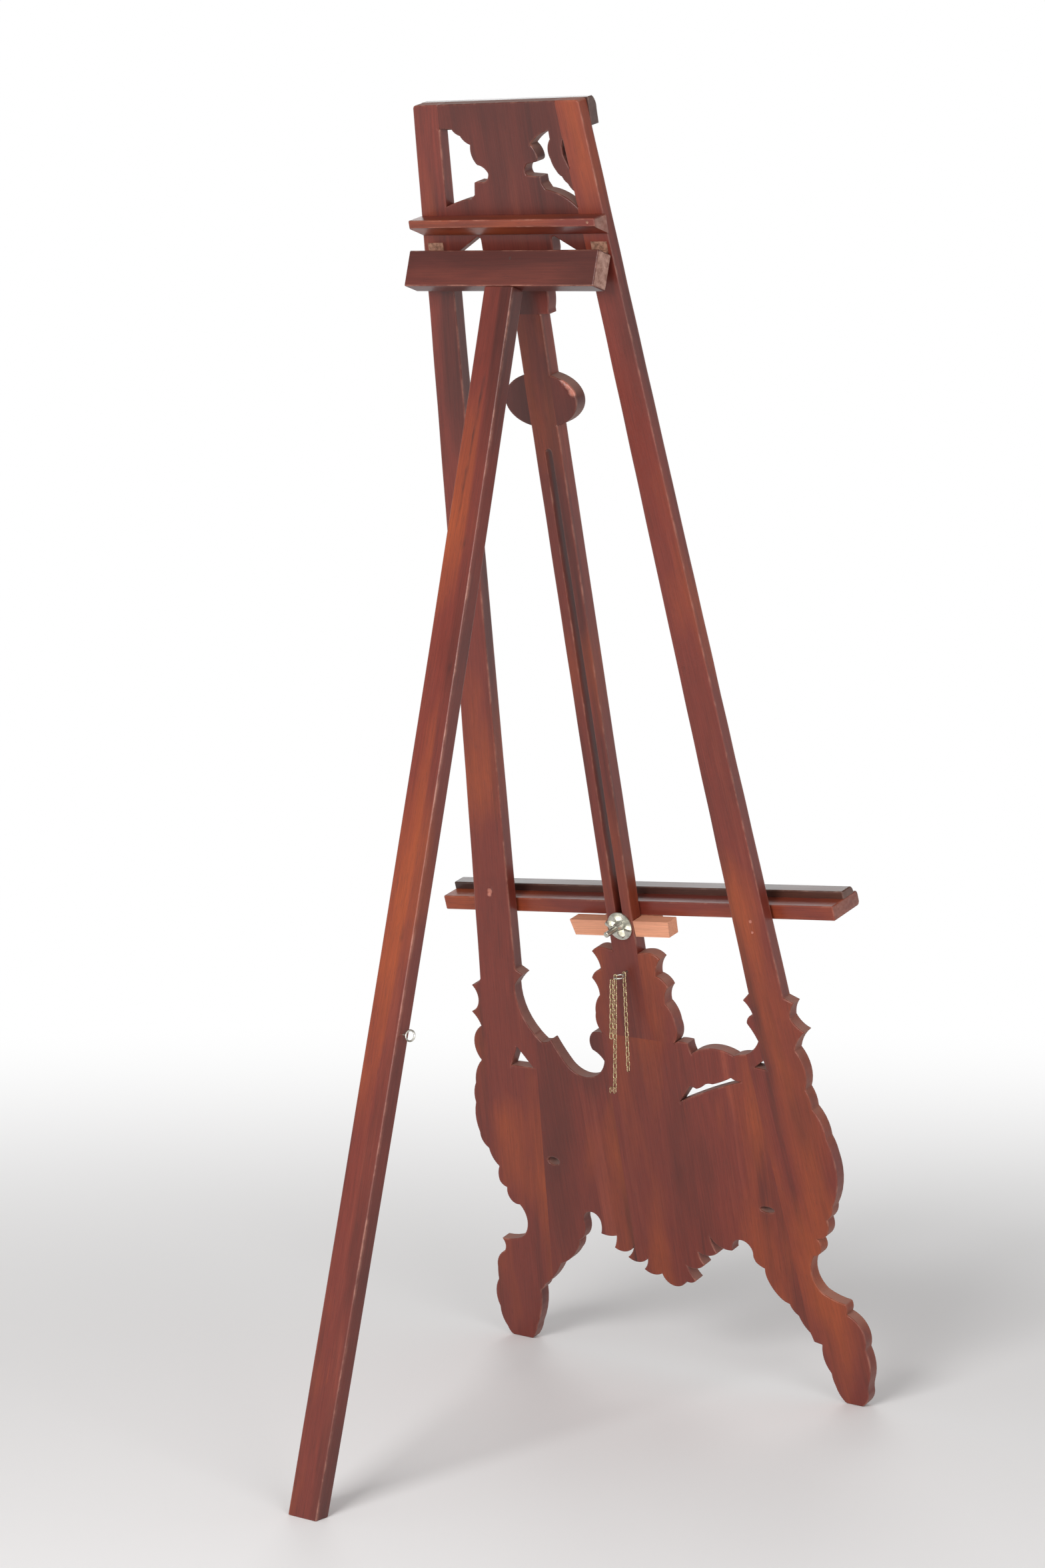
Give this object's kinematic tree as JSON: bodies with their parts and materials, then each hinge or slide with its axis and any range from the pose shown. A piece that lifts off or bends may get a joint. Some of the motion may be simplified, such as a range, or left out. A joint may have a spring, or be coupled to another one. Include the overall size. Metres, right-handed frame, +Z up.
{
  "type": "h frame easel",
  "caption": "Floor easel with a carved A-shaped frame, a slotted mast with sliding ledge, and a hinged rear leg.",
  "frame": {"origin": "on the ground, in the middle of the easel's footprint", "axes": "+Z up, +Y to the rear where the leg stands, +X to the left of someone standing behind the easel"},
  "size_m": [0.6791, 0.8645, 1.7813],
  "materials": {
    "mahogany": "worn red-brown stain and varnish",
    "dark_mahogany": "dark brown varnish",
    "raw_wood": "unfinished, lightly soiled",
    "aged_steel": "dulled",
    "zinc_steel": "zinc plated, dulled",
    "aged_brass": "tarnished"
  },
  "bodies": {
    "frame": {"stile_left": "mahogany", "stile_right": "mahogany", "panel_board_left": "mahogany", "panel_board_centre": "mahogany", "panel_board_right": "mahogany", "head_panel": "mahogany", "head_cornice": "dark_mahogany", "mast": "mahogany", "mast_disc_left": "mahogany", "mast_disc_right": "mahogany", "mast_flare_left": "mahogany", "mast_flare_right": "mahogany", "stop_rail": "mahogany", "stop_rail_screws": "aged_steel", "stop_rail_nail": "aged_steel", "hinge_fixed_leaf_left": "aged_steel", "hinge_fixed_leaf_right": "aged_steel", "hinge_pins": "aged_steel", "hinge_fixed_screws": "aged_steel", "chain_screw_eye": "zinc_steel"},
    "rear_leg": {"hinge_rail": "mahogany", "rear_leg": "mahogany", "leg_tenon_peg": "dark_mahogany", "hinge_moving_leaf_left": "aged_steel", "hinge_moving_leaf_right": "aged_steel", "hinge_moving_screws": "aged_steel", "leg_screw_eye": "zinc_steel"},
    "ledge": {"ledge_board": "mahogany", "ledge_lip": "dark_mahogany", "ledge_yoke": "raw_wood", "ledge_yoke_screws": "aged_steel", "clamp_bolt": "zinc_steel", "clamp_washer": "zinc_steel"},
    "wing_nut": {"wing_nut": "zinc_steel"},
    "chain_long": {"chain_long": "aged_brass"},
    "chain_short": {"chain_short": "aged_brass"}
  },
  "joints": [
    {"name": "leg_hinge", "type": "hinge", "parent": "frame", "child": "rear_leg", "pos_m": [0, -0.01107, 1.58359], "axis": [1, 0, 0], "range_deg": [-25.6, 0]},
    {"name": "ledge_slide", "type": "slide", "parent": "frame", "child": "ledge", "axis": [0, 0.2445, 0.9697], "range_m": [0, 0.675]},
    {"name": "wing_nut_spin", "type": "hinge", "parent": "ledge", "child": "wing_nut", "pos_m": [0, -0.23491, 0.66546], "axis": [0, 0.9697, -0.2445], "continuous": true},
    {"name": "chain_long_swing", "type": "hinge", "parent": "frame", "child": "chain_long", "pos_m": [0.008, -0.24397, 0.59679], "axis": [0, 1, 0], "range_deg": [-30, 30]},
    {"name": "chain_short_swing", "type": "hinge", "parent": "frame", "child": "chain_short", "pos_m": [0.001, -0.25512, 0.5996], "axis": [0, 1, 0], "range_deg": [-30, 30]}
  ]
}
